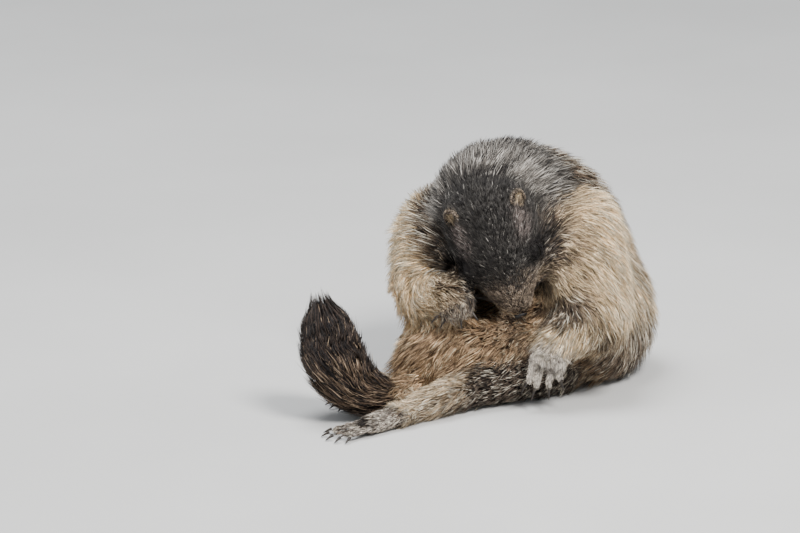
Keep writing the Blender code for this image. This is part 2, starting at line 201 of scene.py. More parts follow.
def merged_copy(node):
    """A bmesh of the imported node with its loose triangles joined."""
    shape = bmesh.new()
    shape.from_mesh(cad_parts[node].data)
    bmesh.ops.remove_doubles(shape, verts=shape.verts, dist=0.00001)
    shape.normal_update()
    return shape


# Flesh and its coat


def both(part):
    return tuple(f"{part}_{name}" for name, _ in SIDES)


# Each node of flesh, or two alike, with a tuft's length, depth and width in millimetres, the tufts to a
# square millimetre, and how far the skin is eased there.
SIZES = ("length", "depth", "width", "density", "easing")
FLESH = (
    (("head",), 8.5, 2.2, 0.55, 2.6, 5),
    (("neck",), 19, 5.5, 0.88, 1.5, 30),
    (("torso",), 21, 6.5, 1.0, 0.88, 30),
    (both("upper_arm"), 21, 6, 0.95, 1.3, 30),
    (both("forearm"), 16, 5, 0.88, 1.4, 20),
    (("hand_left",), 4.8, 0.7, 0.42, 3.6, 2),
    (("hand_right",), 10, 0.9, 0.65, 1.6, 2),
    (("thigh_left",), 12, 4.5, 0.85, 1.3, 25),
    (("thigh_right",), 12, 4.5, 0.85, 1.0, 25),
    (both("shank"), 15, 3.5, 0.85, 1.7, 10),
    (both("foot"), 6, 0.9, 0.65, 1.6, 2),
    (("tail_root",), 22, 5, 1.0, 1.4, 10),
    (("tail_brush",), 40, 0, 1.0, 0, 4),
    (both("ear"), 2.4, 0.2, 0.32, 6.5, 1),
)
NODES = [node for row in FLESH for node in row[0]]
EARS = both("ear")


def table(key):
    """One of the sizes, for every node of flesh."""
    column = SIZES.index(key) + 1
    return np.array([row[column] for row in FLESH for _ in row[0]], float)


def share_of(shares, node):
    return shares[:, NODES.index(node)]


# Skin

SKIN_VOXEL = 2.0
FINE_VOXEL = 0.8
OVERLAP = 0.25


def add_bead(shape, centre, across, heading, radii):
    """An egg of the given half sizes across, upright to both, and along."""
    across = unit(across - heading * (across @ heading))
    upright = np.cross(heading, across)
    turn = np.stack([across * radii[0], upright * radii[1], heading * radii[2]], axis=1)
    place = Matrix.Translation(to_frame(centre)) @ Matrix((turn * MM).tolist()).to_4x4()
    bmesh.ops.create_icosphere(shape, subdivisions=3, radius=1, matrix=place)


def add_chain(shape, stations, across, steps=6):
    """Beads along a smooth line through stations of point, half width and half depth."""
    points = np.array([station[0] for station in stations], float)
    sizes = np.array([station[1:] for station in stations], float)
    shares = np.linspace(0, 1, steps * (len(stations) - 1) + 1)
    centres = along_line(points, shares)
    headings = unit(np.gradient(centres, axis=0))
    for centre, heading, (wide, deep) in zip(centres, headings, along_line(sizes, shares)):
        add_bead(shape, centre, across, heading, (wide, deep, (wide + deep) / 2))


def add_tail_core(shape):
    """Beads along the tail's line, which the skin takes up."""
    line = np.vstack([TAIL_ROOT_LINE[:1], TAIL_LINE])
    reach = np.concatenate([[20], TAIL_REACH]) * TAIL_CORE
    add_chain(shape, [(point, size, size) for point, size in zip(line, reach)], np.array((0.3, 1, 0)), 5)


# Half width and depth of a palm, the reach of its tips to each side, their number, and a digit's half
# thickness.
HAND_SIZES = (15.5, 7.5, 16, 4, 3.5)
FOOT_SIZES = (12, 7, 15, 5, 2.6)
BALL_PLACE = 0.55


def hand_of(*places):
    wrist, knuckles, fingers, across = (np.array(place, float) for place in places)
    return wrist, knuckles, knuckles + fingers, unit(across), *HAND_SIZES


def foot_of(*places):
    ankle, toes = (np.array(place, float) for place in places)
    ball = ankle + (toes - ankle) * BALL_PLACE - UP
    return ankle, ball, toes, unit(np.cross(UP, toes - ankle)), *FOOT_SIZES


# Each hand's wrist, its knuckles, the way from them to the middle tip and the way across, and each foot's
# ankle and middle tip.
PAWS = {
    "hand_left": hand_of((57, -3, 54), (54, -12, 45), (-5, -6, -22), (0.97, 0.2, 0.05)),
    "hand_right": hand_of((-23, 21, 89), (-17, 9, 83), (-4, -6, -8), (0.9, -0.3, 0.2)),
    "foot_left": foot_of((-58, -46, 10), (-114, -84, 5)),
    "foot_right": foot_of((-62, 26, 12), (-112, -6, 5)),
}


def paw_digits(paw):
    """Root and tip of each digit: the tips in a fan, with the outer ones shorter."""
    wrist, knuckles, toes, across, width, _, reach, count, digit = PAWS[paw]
    digits = []
    for index in range(count):
        share = index / (count - 1) * 2 - 1
        root = knuckles + (wrist - knuckles) * 0.25 + across * (width - digit) * share
        tip = toes + across * reach * share
        digits.append((root, tip + (knuckles - tip) * 0.24 * share * share))
    return digits


def add_paw(shape, paw):
    wrist, knuckles, _, across, width, deep, _, _, digit = PAWS[paw]
    palm = [
        (wrist, width * 0.85, deep * 1.25),
        (wrist + (knuckles - wrist) * 0.5, width * 0.92, deep * 1.1),
        (knuckles, width, deep),
    ]
    add_chain(shape, palm, across)
    for root, tip in paw_digits(paw):
        arch = (root + tip) / 2 + unit(np.cross(root - tip, across)) * digit * 0.35
        stations = ((root, digit), (arch, digit), (tip, digit * 0.75))
        add_chain(shape, [(spot, size, size) for spot, size in stations], across)


def fuse(name, shape, voxel):
    obj = object_from(name, shape)
    modify(obj, "REMESH", mode="VOXEL", voxel_size=voxel * MM)
    bake(obj)
    return obj


def add_solid(shape, node, swell):
    """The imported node, a little swollen so that it meets its neighbours."""
    part = merged_copy(node)
    for vert in part.verts:
        vert.co += vert.normal * swell * MM
    mesh = bpy.data.meshes.new("part")
    part.to_mesh(mesh)
    part.free()
    shape.from_mesh(mesh)
    bpy.data.meshes.remove(mesh)


def gather_flesh():
    """All flesh as one skin, before the coat's depth is taken off, with paws and ears in a finer net."""
    whole = bmesh.new()
    for node in NODES:
        if node not in ("tail_brush", *PAWS, *EARS):
            add_solid(whole, node, OVERLAP)
    add_tail_core(whole)
    body = fuse("skin", whole, SKIN_VOXEL)
    small = bmesh.new()
    for paw in PAWS:
        add_paw(small, paw)
    for ear in EARS:
        add_solid(small, ear, 0)
    fine = fuse("fine", small, FINE_VOXEL)
    together = bmesh.new()
    together.from_mesh(body.data)
    together.from_mesh(fine.data)
    together.to_mesh(body.data)
    together.free()
    bpy.data.objects.remove(fine)
    body.data.shade_smooth()
    return body


def read(elements, key, width, kind=np.int32):
    """A row of numbers for each of a mesh's elements."""
    flat = np.empty(len(elements) * width, kind)
    elements.foreach_get(key, flat)
    return flat.reshape(-1, width)


def read_points(mesh, key="co"):
    return read(mesh.vertices, key, 3, np.float32).astype(float)


def write_points(mesh, points):
    mesh.vertices.foreach_set("co", points.astype(np.float32).ravel())
    mesh.update()


class Web:
    """The skin's edges, for evening out values over it."""

    def __init__(self, mesh):
        edges = read(mesh.edges, "vertices", 2).T
        self.count = len(mesh.vertices)
        self.one = edges.ravel()
        self.other = edges[::-1].ravel()
        self.degree = np.maximum(np.bincount(self.one, minlength=self.count), 1)

    def mean(self, values):
        columns = [np.bincount(self.one, column[self.other], self.count) / self.degree for column in values.T]
        return np.stack(columns, axis=1)

    def even(self, values, rounds, factor=0.5):
        for _ in range(rounds):
            values = values + (self.mean(values) - values) * factor
        return values


def region_of(points):
    """The node of flesh that is nearest to each point, as one column of 0 and 1 to a node."""
    verts = []
    faces = []
    owner = []
    for index, node in enumerate(NODES):
        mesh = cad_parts[node].data
        start = len(verts)
        verts.extend(vert.co for vert in mesh.vertices)
        faces.extend([start + corner for corner in face.vertices] for face in mesh.polygons)
        owner.extend([index] * len(mesh.polygons))
    tree = BVHTree.FromPolygons(verts, faces)
    shares = np.zeros((len(points), len(NODES)))
    for row, point in enumerate(points):
        shares[row, owner[tree.find_nearest(point)[2]]] = 1
    return shares


def head_frame(points):
    rel = points - EAR_LINE
    return rel @ HEAD_ALONG, rel @ HEAD_LEFT, rel @ HEAD_OUT


def eye_frame(side):
    """Middle of the eyeball, the way it looks, the way of its slit, and upright to both."""
    centre = on_head(EYE_ALONG, side * EYE_APART / 2, EYE_OUT)
    look = unit(HEAD_LEFT * side + HEAD_OUT * 0.55 + HEAD_ALONG * 0.25)
    slit = unit(HEAD_ALONG - look * (HEAD_ALONG @ look))
    return centre, look, slit, np.cross(look, slit)


def eye_spot(side):
    """The middle of the opening of the lids."""
    centre, look, _, _ = eye_frame(side)
    return centre + look * EYE_RADIUS


# The mouth's fold on the head, the middle of the face, and the fur that the nose lies on.
MOUTH_LEVEL = -10.5
FACE = on_head(70, 0, -12)
LAP = NOSE_TIP + np.array((0, -8, -6))


def coat_sizes(points, shares):
    """Length, depth, width and density of the coat at each point."""
    length, depth, width, density = (shares @ table(key) for key in SIZES[:4])
    head = share_of(shares, "head")
    along, left, out = head_frame(points)
    muzzle = head * smooth_step(along, 30, 72)
    cheek = head * smooth_step(np.abs(left) - out * 0.4, 22, 36) * fade(along, 55, 75)
    length = length * (1 - 0.55 * muzzle) * (1 + 0.6 * cheek)
    depth = depth * (1 - 0.6 * muzzle) * (1 + 0.6 * cheek)
    width *= 1 - 0.2 * muzzle
    density *= 1 + 0.5 * muzzle
    for _, side in SIDES:
        near = head * blob(points, eye_spot(side), 11)
        length *= 1 - 0.5 * near
        depth *= 1 - 0.5 * near
        _, _, slit, rise = eye_frame(side)
        off = points - eye_spot(side)
        lids = np.exp(-((off @ slit / 7.5) ** 2) - (off @ rise / 2.0) ** 2)
        density *= 1 - head * np.clip(lids * 1.4, 0, 1)
    density *= 1 - head * smooth_step(along, 90, 94)
    length *= 1 - 0.5 * ((1 - head) * blob(points, LAP, 24))
    gap = (1 - head) * shadow_beside_muzzle(points)
    eye_line = line_of_eye(points)
    length *= 1 - 0.5 * np.maximum(gap, eye_line)
    density = density * (1 - 0.5 * gap) * (1 - 0.75 * eye_line)
    for hand in both("hand"):
        wrist = share_of(shares, hand) * fade(paw_share(points, hand), 0.2, 0.75)
        length += wrist * 6
        depth += wrist
    fist = share_of(shares, "hand_right") * smooth_step(paw_share(points, "hand_right"), 0.6, 0.95)
    length += fist * 3
    density *= 1 - 0.85 * digit_gaps(points, shares)
    for name, side in SIDES:
        root, rise, _ = ear_frame(side)
        beside = (1 - share_of(shares, f"ear_{name}")) * blob(points, root + rise * 6, 13)
        length *= 1 - 0.5 * beside
        depth *= 1 - 0.6 * beside
        cup, tuft = cup_and_tuft(points, side)
        length = length * (1 - cup) + (3 + 4 * tuft) * cup
        depth = depth * (1 - cup) + (0.3 + 1.5 * tuft) * cup
        density *= 1 - 0.5 * (cup - tuft)
    return length, depth, width, density


# The ear's root on the head, and how far its cup lies up it, out of it and round.
EAR_ROOT = (10, 27, 9)
CUP_UP = 8.5
CUP_OUT = 3.1
CUP_RADIUS = 6.6


def ear_frame(side):
    """Root, rise and the way its cup faces, of an ear."""
    along, left, out = EAR_ROOT
    rise = unit(HEAD_ALONG * -0.86 + HEAD_OUT * 0.5 - HEAD_LEFT * side * 0.05)
    face = unit(HEAD_LEFT * side * 0.62 + HEAD_OUT * 0.75 + HEAD_ALONG * 0.1)
    return on_head(along, side * left, out), rise, face


def cup_reach(points, side):
    """How far out from the middle of the ear's cup, 1 at its rim."""
    root, rise, face = ear_frame(side)
    return np.linalg.norm(points - root - rise * CUP_UP - face * CUP_OUT, axis=1) / CUP_RADIUS


def cup_and_tuft(points, side):
    """1 inside the cup of the ear, and 1 where pale hair grows out of its lower front."""
    root, rise, _ = ear_frame(side)
    cup = fade(cup_reach(points, side), 0.75, 1.1)
    return cup, cup * fade((points - root) @ rise, 9, 12)


def seen_at(points):
    """Place in the photograph's plane: across and up, in millimetres."""
    return points[:, 0], points[:, 2] * math.cos(CAMERA_HEIGHT) + points[:, 1] * math.sin(CAMERA_HEIGHT)


def seen_spot(points, across, up, reach):
    """1 at a place in the photograph's plane, on the side that it shows, falling off by the reach."""
    x, y = seen_at(points)
    return np.exp(-((x - across) ** 2 + (y - up) ** 2) / reach**2) * fade(points[:, 1], 10, 50)


def off_line(points, start, end):
    """How far each point is seen from a line in the photograph's plane."""
    across, up = seen_at(points)
    start = np.array(start, float)
    way = np.array(end, float) - start
    share = np.clip(((across - start[0]) * way[0] + (up - start[1]) * way[1]) / (way @ way), 0, 1)
    return np.hypot(across - start[0] - share * way[0], up - start[1] - share * way[1])


def away_from(points, place):
    return np.linalg.norm(points - place, axis=1)


def eye_streak(points, start, end, width, near, far):
    """A streak along a line in the photograph's plane, which fades away from the left eye."""
    return hump(off_line(points, start, end), width) * fade(away_from(points, eye_spot(1)), near, far)


def line_of_eye(points):
    """The dark line through the left eye, from its brow to its tear corner: partly dark lid skin, partly
    painted shade.
    """
    return eye_streak(points, (45.8, 136), (46.2, 114), 2.1, 13, 19)


def shadow_beside_muzzle(points):
    """Where the arms close in on the muzzle and no light gets."""
    left_gap = hump(off_line(points, (46.5, 114), (50, 80)), 2.8) * fade(away_from(points, FACE), 34, 48)
    right_gap = blob(points, on_head(66, -27, -4), 15)
    return np.clip((left_gap + right_gap) * 1.3, 0, 1)


def paw_share(points, paw):
    """How far along a paw a point lies: 0 at the wrist, 1 at the tips."""
    wrist, _, toes = PAWS[paw][:3]
    way = toes - wrist
    return ((points - wrist) @ way) / (way @ way)


def digit_gaps(points, shares):
    """The clefts between the digits of each paw, but for the closed right hand."""
    cleft = np.zeros(len(points))
    for paw in PAWS:
        if paw == "hand_right":
            continue
        near = np.full(len(points), np.inf)
        for root, tip in paw_digits(paw):
            way = tip - root
            part = np.clip(((points - root) @ way) / (way @ way), 0.0, 1.0)
            near = np.minimum(near, away_from(points - root, part[:, None] * way))
        digit = PAWS[paw][-1]
        open_share = share_of(shares, paw) * smooth_step(paw_share(points, paw), 0.45, 0.7)
        cleft += open_share * smooth_step(near, digit * 0.85, digit * 1.15)
    return cleft


INSET = 1.5
EAR_INSET = 0.3


def skin_depth(points, shares):
    """How far the skin lies inside the solids: under the coat, and in the folds of the face."""
    ears = sum(share_of(shares, ear) for ear in EARS)
    depth = coat_sizes(points, shares)[1] * INSET * (1 - ears) + EAR_INSET * ears
    head = share_of(shares, "head")
    along, left, out = head_frame(points)
    groove = smooth_step(along, 52, 60) * hump(out - MOUTH_LEVEL, 1.6)
    slim = smooth_step(along, 66, 88) * smooth_step(np.abs(left), 5, 16)
    lap = (1 - head) * blob(points, LAP, 20)
    gap = (1 - head) * shadow_beside_muzzle(points)
    folds = head * (1.6 * groove + 2.2 * slim)
    return depth + 3 * lap + folds + 2.5 * gap + 1.6 * line_of_eye(points) + digit_gaps(points, shares)


def seat_eyes(points):
    """Skin lies over the eyeball, but for a slit that shows it."""
    for _, side in SIDES:
        centre, look, slit, rise = eye_frame(side)
        rel = points - centre
        reach = np.linalg.norm(rel, axis=1)
        way = rel / reach[:, None]
        front = (way @ look > 0.05) & (reach < 11)
        opening = ((way @ slit) / 0.92) ** 2 + ((way @ rise) / 0.42) ** 2
        inside = front & (opening < 1)
        outside = front & ~inside
        target = np.where(inside, np.minimum(reach, EYE_RADIUS - 1.4), reach)
        target = np.where(outside, np.maximum(reach, EYE_RADIUS + 1.3), target)
        points = centre + way * target[:, None]
    return points


def trunk_place(points):
    """The nearest place on the trunk's line: its share, its tangent, and the point's offset from it."""
    line = along_line(TRUNK_LINE, np.linspace(0, 1, 90))
    tangents = unit(np.gradient(line, axis=0))
    best = np.argmin(((points[:, None, :] - line[None]) ** 2).sum(axis=2), axis=1)
    return best / 89, tangents[best], points - line[best]


LIMBS = (("upper_arm", "forearm", "hand", "claw_hand"), ("thigh", "shank", "foot", "claw_foot"))
NEXT_NODE = {part: after for limb in LIMBS for part, after in zip(limb, limb[1:])}


def limb_way(name):
    """From the middle of a length of limb to the middle of the next, or of its third claw."""
    part, side = name.rsplit("_", 1)
    after = f"{NEXT_NODE[part]}_{side}"
    if after.startswith("claw"):
        after += "_3"
    return unit(middle_of(after) - middle_of(name))


def flow_of(points, shares):
    """The lie of the hair: back from the nose, along the trunk to the tail, and down the limbs."""
    _, tangents, offset = trunk_place(points)
    side = HIP_LEFT * 0.5 + CHEST_LEFT * 0.5
    outward = np.tanh(offset @ side / 20)[:, None] * side
    fan = unit(points - FACE)
    near = fade(away_from(points, FACE), 55, 105)[:, None]
    _, left, _ = head_frame(points)
    flows = np.zeros_like(points)
    for name, share in zip(NODES, shares.T):
        if name == "head":
            way = -HEAD_ALONG + np.tanh(left / 18)[:, None] * HEAD_LEFT * 0.55 - HEAD_OUT * 0.1
        elif name == "neck":
            way = tangents + outward * 0.3 + fan * 0.4
        elif name == "torso":
            way = tangents + outward * 0.45 - UP * 0.12
        elif name == "tail_root":
            way = unit(TAIL_ROOT_LINE[1] - TAIL_ROOT_LINE[0])
        elif name == "tail_brush":
            way = unit(TAIL_LINE[2] - TAIL_LINE[0])
        elif name in EARS:
            way = -HEAD_ALONG + HEAD_OUT * 0.4
        else:
            way = limb_way(name)
        if name in both("upper_arm"):
            shoulder = fade((points - middle_of(name)) @ way, -30, 12)[:, None]
            way = way * (1 - near * 0.8) + fan * near * 1.1 + fan * 0.15
            way = way * (1 - 0.6 * shoulder) + (tangents - UP * 0.3) * shoulder
        flows += share[:, None] * unit(way)
    return flows


def make_skin():
    obj = gather_flesh()
    mesh = obj.data
    web = Web(mesh)
    points = from_frame(read_points(mesh))
    rough = web.even(region_of(to_frame(points)), 6)
    easing = rough @ table("easing")
    for turn in range(int(table("easing").max())):
        factor = np.clip(easing - turn, 0, 1)[:, None] * 0.5
        points = points + (web.mean(points) - points) * factor
    shares = web.even(rough, 24)
    write_points(mesh, to_frame(points))
    normals = read_points(mesh, "normal")
    depth = web.even(skin_depth(points, shares)[:, None], 4)[:, 0]
    points = web.even(points - normals * depth[:, None], 2, 0.3)
    points[:, 2] = np.maximum(points[:, 2], 0.2)
    points = seat_eyes(points)
    write_points(mesh, to_frame(points))
    normals = read_points(mesh, "normal")
    flows = web.even(flow_of(points, shares), 40)
    flows = unit(flows - normals * np.sum(flows * normals, axis=1)[:, None])
    return obj, web, points, normals, shares, flows


def unwrap(obj):
    """An unwrap of the skin's own shape."""
    obj.data.uv_layers.new(name="OFBake")
    bpy.context.view_layer.objects.active = obj
    obj.select_set(True)
    bpy.ops.object.mode_set(mode="EDIT")
    bpy.ops.mesh.select_all(action="SELECT")
    bpy.ops.uv.smart_project(angle_limit=math.radians(70), island_margin=0.002)
    bpy.ops.object.mode_set(mode="OBJECT")


# Markings

BLACK = (0.012, 0.010, 0.010)
CHARCOAL = (0.045, 0.041, 0.038)
GRAPHITE = (0.07, 0.064, 0.057)
SLATE = (0.24, 0.21, 0.18)
SILVER = (0.54, 0.5, 0.45)
LILAC = (0.2, 0.158, 0.143)
TAUPE = (0.16, 0.125, 0.1)
UMBER = (0.055, 0.036, 0.026)
SEPIA = (0.2, 0.135, 0.09)
DUN = (0.29, 0.23, 0.175)
HAZEL = (0.31, 0.23, 0.16)
TAN = (0.4, 0.29, 0.195)
SAND = (0.5, 0.39, 0.28)
RUST = (0.38, 0.24, 0.135)
FAWN = (0.58, 0.4, 0.235)
GOLD = (0.64, 0.455, 0.245)
CREAM = (0.92, 0.75, 0.51)
IVORY = (0.97, 0.88, 0.72)
HONEY = (0.83, 0.58, 0.31)
STRAW = (0.97, 0.76, 0.475)
PEARL = (0.99, 0.89, 0.7)
ASH = (0.72, 0.65, 0.57)

# A pelt is the colour of the hair at its root, along its shaft and at its tip, the colours of its pale
# and its dark hairs at the tip, and the shares of those.
PELTS = {
    "crown": (BLACK, CHARCOAL, GRAPHITE, SILVER, BLACK, 0.075, 0.45),
    "muzzle": (BLACK, TAUPE, HAZEL, SAND, BLACK, 0.3, 0.28),
    "brow": (CHARCOAL, LILAC, LILAC, SILVER, CHARCOAL, 0.22, 0.2),
    "nape": (BLACK, CHARCOAL, SLATE, SILVER, BLACK, 0.35, 0.32),
    "silver": (CHARCOAL, SLATE, SILVER, SILVER, CHARCOAL, 0.35, 0.22),
    "saddle": (BLACK, UMBER, TAN, IVORY, BLACK, 0.3, 0.3),
    "cheek": (BLACK, UMBER, TAN, CREAM, BLACK, 0.28, 0.34),
    "golden": (UMBER, SAND, GOLD, STRAW, UMBER, 0.32, 0.2),
    "mantle": (TAN, HONEY, STRAW, PEARL, FAWN, 0.5, 0.07),
    "flank": (UMBER, TAUPE, SAND, IVORY, BLACK, 0.32, 0.28),
    "belly": (UMBER, RUST, FAWN, CREAM, UMBER, 0.2, 0.24),
    "thigh": (BLACK, UMBER, DUN, IVORY, BLACK, 0.25, 0.44),
    "shin": (UMBER, FAWN, CREAM, IVORY, UMBER, 0.38, 0.12),
    "paw": (TAUPE, ASH, ASH, IVORY, TAUPE, 0.3, 0.16),
    # Used only for the painted highlight round the edge of each ear's cup.
    "ear": (UMBER, TAUPE, DUN, SAND, UMBER, 0.4, 0.2),
    # Black hair: the eyes' dark rims, partly painted shade, and painted shade in the ears' cups, beside the
    # muzzle, between the digits and along the left eye's slit.
    "rim": (BLACK, BLACK, BLACK, CHARCOAL, BLACK, 0.1, 0.5),
    "brush": (BLACK, BLACK, UMBER, TAN, BLACK, 0.035, 0.5),
    "rufous": (BLACK, UMBER, SEPIA, TAN, BLACK, 0.16, 0.45),
}
PELT_NAMES = list(PELTS)

# Places with more of one pelt: its name, the place in the photograph's plane, its reach and its strength.
# Some are painted shade, marked below.
SPOTS = (
    ("thigh", 65, 79, 12, 4.0),
    ("crown", 61, 178, 13, 2.5),
    # Painted shade between the belly and the left hand.
    ("cheek", 26, 56, 12, 1.0),
    ("crown", 53, 126, 5, 1.5),
    # Painted shade down the face's edge below the left eye.
    ("crown", 47, 109, 5, 2.5),
    ("cheek", -32, 92, 13, 3.0),
    # Painted shade in the gap between the belly and the left arm.
    ("cheek", 38, 54, 9, 1.2),
    # Painted shade under the nose, on the belly's fur.
    ("crown", 34, 63, 8, 1.5),
    ("thigh", 104, 57, 18, 1.2),
    ("silver", -34, 134, 13, 1.0),
)
# How far from the head's middle the ruff on each upper arm begins to give way to the pale mantle.
RUFF_EDGE = {1: 37, -1: 44}
RUFF_EASE = 18


def mark_head(deal, points, head):
    """A dark crown, paler brows, dark rims to the eyes, partly painted shade, and a brown muzzle."""
    along, left, _ = head_frame(points)
    muzzle = smooth_step(along, 48, 90)
    # The dark round each eye is partly the eye's own dark rims and partly painted shade.
    rim = np.clip(sum(blob(points, eye_spot(side), 8) for _, side in SIDES) * 1.4, 0, 1)
    brow = sum(hump(left - 22.5 * side, 6.0) for _, side in SIDES)
    brow = 0.8 * brow * smooth_step(along, 4, 12) * fade(along, 32, 45)
    grey = 0.12 * smooth_step(along, 22, 40) * fade(along, 48, 64)
    deal(head, muzzle=muzzle, rim=rim, brow=brow, nape=grey, crown=1)


def mark_neck(deal, points, neck):
    """Dark between the ears, silver on both sides of it, and grey elsewhere."""
    along, left, _ = head_frame(points)
    silver = np.clip(blob(points, (-38, 40, 150), 22) + blob(points, (27, 38, 170), 19), 0, 1)
    between_ears = smooth_step(along, -28, -4) * fade(np.abs(left), 14, 30)
    deal(neck, silver=silver, crown=between_ears, nape=1)


def mark_trunk(deal, points, share):
    """A grey-brown saddle, pale flanks that darken to the ground, a rusty belly, and the tail."""
    place, _, _ = trunk_place(points)
    torso = share["torso"]
    belly = smooth_step(place, 0.6, 0.72)
    rear = smooth_step(place, 0.3, 0.42) * (1 - belly)
    low = smooth_step(-points[:, 2], -75, -35)
    ground = torso * rear * smooth_step(-points[:, 2], -42, -18)
    deal(torso, belly=belly)
    deal(torso * rear * (0.35 + 0.65 * low) - ground * 0.8, flank=1)
    deal(ground, thigh=0.8)
    deal(torso * rear * (1 - low), mantle=0.3)
    deal(torso * (1 - belly - rear), nape=0.6 * fade(place, 0.14, 0.32), saddle=1)
    deal(share["tail_root"], belly=0.6, rufous=1)
    deal(share["tail_brush"], brush=1)


def mark_arm(deal, points, share, name, side):
    """A dark ruff beside the head, the pale mantle over the shoulder, and a greyer hand; the right hand,
    under the chin, is painted darker as shade.
    """
    along, left, _ = head_frame(points)
    arm, forearm, hand = (share[f"{part}_{name}"] for part in ("upper_arm", "forearm", "hand"))
    ruff = fade(left * side, RUFF_EDGE[side], RUFF_EDGE[side] + RUFF_EASE)
    if side > 0:
        golden = 0.85 * np.maximum(fade(left, 54, 76), fade(seen_at(points)[1], 50, 80))
        deal(arm, cheek=ruff * fade(along, 56, 70), golden=golden, mantle=1)
        end = forearm * smooth_step(paw_share(points, "hand_left"), -0.3, 0.15) * 0.8
        deal(end + hand, paw=1)
    else:
        deal(arm, saddle=ruff, mantle=1)
        end = forearm * fade(-left, 36, 54)
        fist = smooth_step(paw_share(points, "hand_right"), 0.15, 0.5)
        deal(end, nape=1)
        # Painted shade: the right hand lies under the chin, so it takes the dark nape and saddle pelts in
        # place of most of the pale paw.
        deal(hand, nape=1 - fist)
        deal(hand * fist, paw=0.4, saddle=1)
    deal(forearm - end, mantle=0.85, thigh=1)


def mark_leg(deal, points, normals, share, name, side):
    """Dark and grizzled outside, pale on top, on the knee and on the shin."""
    facing_up = smooth_step(normals @ unit(np.array((0, 0.3, 1.0))), 0.35, 0.85)
    knee = 0.7 * fade(points[:, 0], -30, 5)
    pale = np.maximum(np.maximum(0.8 * facing_up, knee), 0.6 * (side < 0))
    deal(share[f"shank_{name}"], thigh=0.4 * (side > 0) * (1 - facing_up), shin=1)
    deal(share[f"foot_{name}"], paw=0.4, saddle=1)
    deal(share[f"thigh_{name}"], shin=pale, thigh=1)


def mark_ear(deal, points, ear, side):
    """A cup painted dark as shade, with a pale tuft in it, and a paler fringe round its edge that is a
    painted highlight.
    """
    cup, tuft = cup_and_tuft(points, side)
    # Painted shade in the hollow of the cup, above the tuft.
    deal(4 * (cup - tuft), rim=1)
    deal(4 * tuft, golden=1)
    # Painted highlight: a paler band round the cup's edge.
    deal(ear * (1 - cup), ear=hump(cup_reach(points, side) - 1.12, 0.14), crown=1)


def marking_shares(points, normals, shares):
    """How much of each pelt grows at each point."""
    amount = {pelt: np.zeros(len(points)) for pelt in PELTS}
    share = dict(zip(NODES, shares.T))

    def deal(value, **parts):
        """Each pelt in turn gets its part of what is left of the value."""
        for pelt, part in parts.items():
            amount[pelt] += value * part
            value = value * (1 - part)

    mark_head(deal, points, share["head"])
    mark_neck(deal, points, share["neck"])
    mark_trunk(deal, points, share)
    for name, side in SIDES:
        mark_arm(deal, points, share, name, side)
        mark_leg(deal, points, normals, share, name, side)
        mark_ear(deal, points, share[f"ear_{name}"], side)
    body = 1 - share["head"]
    # Some of these spots are painted shade.
    for pelt, across, up, reach, strength in SPOTS:
        amount[pelt] += body * strength * seen_spot(points, across, up, reach)
    # Painted shade: black hair where the arms close in on the muzzle and in the clefts between the digits,
    # and along the left eye's slit, where it is partly dark lid skin.
    gap = body * shadow_beside_muzzle(points)
    for dark in (3 * gap * gap, 4 * digit_gaps(points, shares), 8 * line_of_eye(points)):
        amount["rim"] += dark
    # The pale line of fur under the left eye.
    amount["silver"] += 3.5 * eye_streak(points, (51.6, 131), (51.2, 117), 1.5, 10, 15)
    columns = np.stack(list(amount.values()), axis=1)
    return columns / np.maximum(columns.sum(axis=1, keepdims=True), 1e-6)


def stirred(amounts, noise):
    """The same amounts with chance in them, so that where two pelts meet their hairs mingle."""
    mixed = (amounts + 0.02) ** 2 * np.exp(noise)
    mixed = np.where(amounts < 0.01, 0, mixed)
    return mixed / np.maximum(mixed.sum(axis=1, keepdims=True), 1e-9)


def pelt_colours(amounts, draws, tones):
    """Root, shaft and tip colour of each hair. Draws pick the pale and the dark hairs."""
    root, shaft, tip, pale, dark, pale_share, dark_share = (
        amounts @ np.array(column) for column in zip(*PELTS.values())
    )
    is_pale = (draws < pale_share)[:, None]
    is_dark = (draws > 1 - dark_share)[:, None]
    tip = np.where(is_pale, pale, np.where(is_dark, dark, tip))
    shaft = np.where(is_pale, shaft * 0.5 + pale * 0.5, np.where(is_dark, shaft * 0.45 + dark * 0.55, shaft))
    shaft = shaft * 0.8 + root * 0.2
    return root, shaft * tones[:, None], tip * tones[:, None]


# Tufts

RIDGE = 0.7
# How far across a tuft the three points of a ring lie. It is kept beside the colour, for the material.
ACROSS = (0.0, 1.0, 0.5)
UV_HALF = 0.0015


def tuft_faces(rings):
    """Corners of the triangles of one closed tuft: a root point, rings of three and a tip."""
    tip = 1 + 3 * rings
    faces = [(1, 2, 0), (3, 1, 0), (2, 3, 0)]
    for low in range(1, tip - 3, 3):
        high = low + 3
        for one, other in ((1, 0), (0, 2), (2, 1)):
            faces.append((low + one, low + other, high + other))
            faces.append((low + one, high + other, high + one))
    last = tip - 3
    faces += [(last + 1, last, tip), (last, last + 2, tip), (last + 2, last + 1, tip)]
    return np.array(faces)


def turned(lines, outs):
    """The ways across and over each tuft, from its middle line and the way out of the skin."""
    headings = unit(lines[:, -1] - lines[:, 0])
    sides = unit(np.cross(headings, outs))
    return sides, np.cross(sides, headings)


